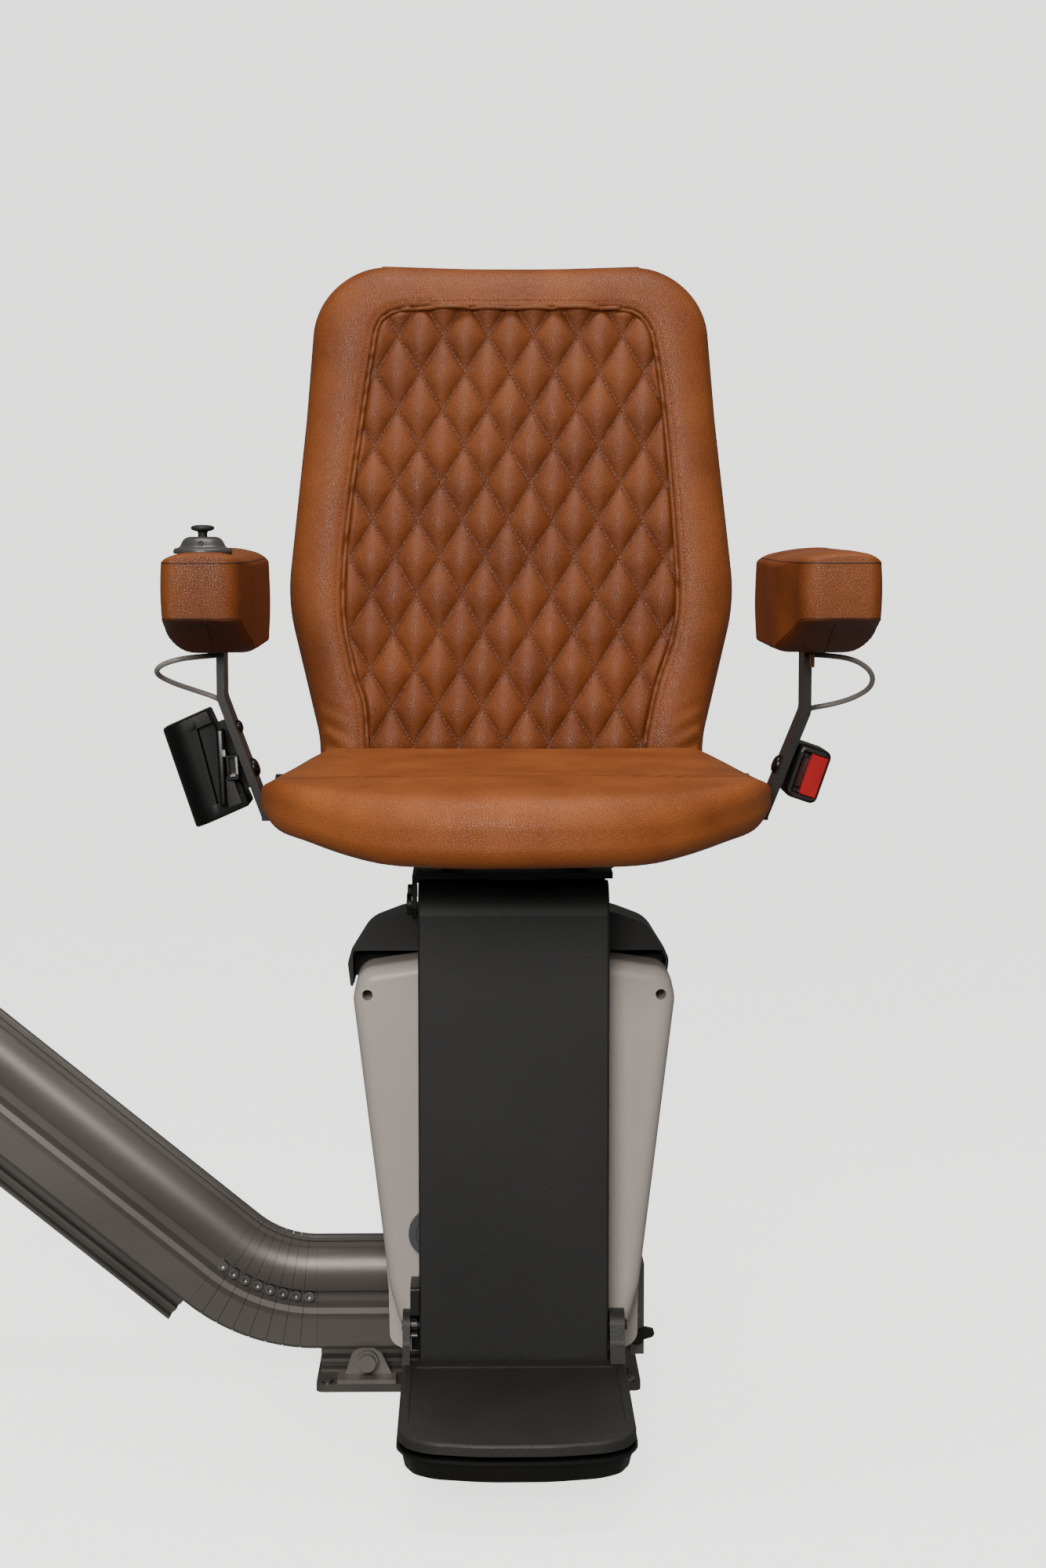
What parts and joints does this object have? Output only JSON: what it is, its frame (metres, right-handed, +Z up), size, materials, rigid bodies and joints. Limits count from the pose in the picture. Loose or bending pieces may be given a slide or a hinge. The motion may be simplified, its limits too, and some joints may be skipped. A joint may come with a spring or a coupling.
{
  "type": "stairlift chair",
  "caption": "Upholstered stairlift chair with folding seat, arms and footrest, standing on the lower end of a curved toothed rail.",
  "frame": {"origin": "centre of the four floor bolts, on the underside of the foot plate", "axes": "+Z up, the sitter faces -Y, the stairs rise towards -X"},
  "size_m": [0.9426, 0.572, 1.1113],
  "materials": {
    "rail_paint": "satin anodised grey-brown, ribbed along its length",
    "base_paint": "satin, slotted profile",
    "bracket_metal": "satin",
    "steel": "brushed",
    "gear_steel": "machined",
    "cast_housing": "cast, painted",
    "motor_metal": "satin",
    "wheel_plastic": "turned nylon",
    "knob_plastic": "moulded",
    "cover_plastic": "fine moulded grain, warm light grey",
    "boss_plastic": "moulded",
    "hood_plastic": "fine moulded grain",
    "body_metal": "satin",
    "battery_case": "moulded",
    "circuit_board": "lacquered board with parts",
    "apron_metal": "powder coat, satin",
    "footrest_top": "fine stipple",
    "pan_plastic": "moulded",
    "frame_metal": "powder coat, satin",
    "leather": "grained, soft sheen",
    "quilted_leather": "grained, diamond quilting with darker stitches",
    "shell_plastic": "moulded",
    "board_wood": "plywood",
    "bar_metal": "satin",
    "reel_plastic": "moulded",
    "buckle_plastic": "moulded",
    "red_plastic": "moulded",
    "base_plastic": "satin",
    "stick_plastic": "moulded",
    "cable_skin": "smooth sheath"
  },
  "bodies": {
    "rail": {"rail_straight": "rail_paint", "rail_bend_segments": "rail_paint", "rail_screws": "steel", "rail_incline": "rail_paint", "incline_base_strip": "base_paint", "drive_rack": "gear_steel", "base_profile": "base_paint", "foot_plate": "base_paint", "foot_plate_screws": "steel", "end_plate": "bracket_metal", "charge_bracket": "bracket_metal", "stop_buffer": "knob_plastic"},
    "end_lever": {"end_lever": "knob_plastic"},
    "carriage": {"carriage_chassis": "body_metal", "roller_axles": "steel", "levelling_shaft": "gear_steel", "drive_gearbox": "cast_housing", "drive_motor": "motor_metal"},
    "top_roller_left": {"top_roller_left": "wheel_plastic"},
    "top_roller_right": {"top_roller_right": "wheel_plastic"},
    "low_rollers_left": {"low_rollers_left": "wheel_plastic"},
    "low_rollers_right": {"low_rollers_right": "wheel_plastic"},
    "drive_pinion": {"drive_pinion": "gear_steel"},
    "powerpack": {"body_frame": "body_metal", "levelling_motor": "motor_metal", "batteries": "battery_case", "control_board": "circuit_board", "front_cover": "cover_plastic", "cover_screws": "steel", "rear_cover": "cover_plastic", "hood": "hood_plastic", "cover_boss": "boss_plastic", "apron": "apron_metal", "seat_support": "frame_metal", "footrest_drive_housing": "hood_plastic"},
    "swivel_lever": {"swivel_lever": "knob_plastic"},
    "footrest_pinion": {"footrest_pinion": "gear_steel"},
    "footrest": {"footrest_plate": "footrest_top", "footrest_gear": "gear_steel"},
    "safety_pan": {"safety_pan": "pan_plastic"},
    "seat_base": {"seat_frame": "frame_metal", "backrest_cushion": "quilted_leather", "backrest_shell": "shell_plastic"},
    "seat": {"seat_pan": "board_wood", "seat_cushion": "leather"},
    "left_arm": {"left_arm_bar": "bar_metal", "left_arm_pad": "leather", "joystick_base": "base_plastic", "belt_reel": "reel_plastic", "belt_spool": "gear_steel", "belt_tongue": "steel", "reel_bolts": "frame_metal", "left_cable": "cable_skin"},
    "joystick": {"joystick": "stick_plastic"},
    "right_arm": {"right_arm_bar": "bar_metal", "right_arm_pad": "leather", "belt_buckle": "buckle_plastic", "buckle_bolt": "frame_metal", "right_cable": "cable_skin"},
    "buckle_button": {"buckle_button": "red_plastic"}
  },
  "joints": [
    {"name": "end_lever_turn", "type": "hinge", "parent": "rail", "child": "end_lever", "pos_m": [0.123, -0.069, 0.05], "axis": [0, 1, 0], "range_deg": [-15, 15], "stiffness_Nm_per_rad": 0.2},
    {"name": "carriage_travel", "type": "slide", "parent": "rail", "child": "carriage", "axis": [1, 0, 0], "range_m": [-0.1, 0]},
    {"name": "top_roller_left_spin", "type": "hinge", "parent": "carriage", "child": "top_roller_left", "pos_m": [-0.07, -0.034, 0.16125], "axis": [0, 1, 0], "range_deg": [-400, 20]},
    {"name": "top_roller_right_spin", "type": "hinge", "parent": "carriage", "child": "top_roller_right", "pos_m": [0.07, -0.034, 0.16125], "axis": [0, 1, 0], "range_deg": [-400, 20]},
    {"name": "low_rollers_left_spin", "type": "hinge", "parent": "carriage", "child": "low_rollers_left", "pos_m": [-0.07, 0, 0.08325], "axis": [0, 1, 0], "range_deg": [-20, 800]},
    {"name": "low_rollers_right_spin", "type": "hinge", "parent": "carriage", "child": "low_rollers_right", "pos_m": [0.07, 0, 0.08325], "axis": [0, 1, 0], "range_deg": [-20, 800]},
    {"name": "drive_pinion_spin", "type": "hinge", "parent": "carriage", "child": "drive_pinion", "pos_m": [0, 0, 0.15987], "axis": [0, 1, 0], "range_deg": [-200, 20]},
    {"name": "levelling", "type": "hinge", "parent": "carriage", "child": "powerpack", "pos_m": [0, -0.1, 0.245], "axis": [0, 1, 0], "range_deg": [-39.4, 0]},
    {"name": "swivel_lever_lift", "type": "hinge", "parent": "powerpack", "child": "swivel_lever", "pos_m": [-0.098, -0.172, 0.5], "axis": [1, 0, 0], "range_deg": [0, 10], "stiffness_Nm_per_rad": 1, "springref_deg": -5.73},
    {"name": "footrest_fold", "type": "hinge", "parent": "powerpack", "child": "footrest", "pos_m": [0, -0.222, 0.108], "axis": [-1, 0, 0], "range_deg": [0, 90]},
    {"name": "footrest_pinion_spin", "type": "hinge", "parent": "powerpack", "child": "footrest_pinion", "pos_m": [-0.094, -0.222, 0.12555], "axis": [-1, 0, 0], "range_deg": [-140, 5]},
    {"name": "pan_lift", "type": "slide", "parent": "footrest", "child": "safety_pan", "axis": [0, 0, 1], "range_m": [0, 0.003], "stiffness_N_per_m": 1500, "springref_m": -0.004},
    {"name": "seat_swivel", "type": "hinge", "parent": "powerpack", "child": "seat_base", "pos_m": [0, -0.17, 0.534], "axis": [0, 0, 1], "range_deg": [0, 90]},
    {"name": "seat_fold", "type": "hinge", "parent": "seat_base", "child": "seat", "pos_m": [0, -0.135, 0.6], "axis": [-1, 0, 0], "range_deg": [0, 84]},
    {"name": "left_arm_fold", "type": "hinge", "parent": "seat_base", "child": "left_arm", "pos_m": [-0.226, -0.075, 0.6], "axis": [-1, 0, 0], "range_deg": [0, 88]},
    {"name": "joystick_tilt", "type": "hinge", "parent": "left_arm", "child": "joystick", "pos_m": [-0.2705, -0.37, 0.839], "axis": [0, 1, 0], "range_deg": [-12, 12], "stiffness_Nm_per_rad": 0.4},
    {"name": "right_arm_fold", "type": "hinge", "parent": "seat_base", "child": "right_arm", "pos_m": [0.226, -0.075, 0.6], "axis": [-1, 0, 0], "range_deg": [0, 88]},
    {"name": "buckle_press", "type": "slide", "parent": "right_arm", "child": "buckle_button", "axis": [0, 1, 0], "range_m": [0, 0.004], "stiffness_N_per_m": 500, "springref_m": -0.001}
  ],
  "couplings": [
    {"joint": "drive_pinion_spin", "follows": "carriage_travel", "rad_per_m": 31.746},
    {"joint": "top_roller_left_spin", "follows": "carriage_travel", "rad_per_m": 66.667},
    {"joint": "top_roller_right_spin", "follows": "carriage_travel", "rad_per_m": 66.667},
    {"joint": "low_rollers_left_spin", "follows": "carriage_travel", "rad_per_m": -133.33},
    {"joint": "low_rollers_right_spin", "follows": "carriage_travel", "rad_per_m": -133.33},
    {"joint": "footrest_pinion_spin", "follows": "footrest_fold", "ratio": -1.5}
  ]
}
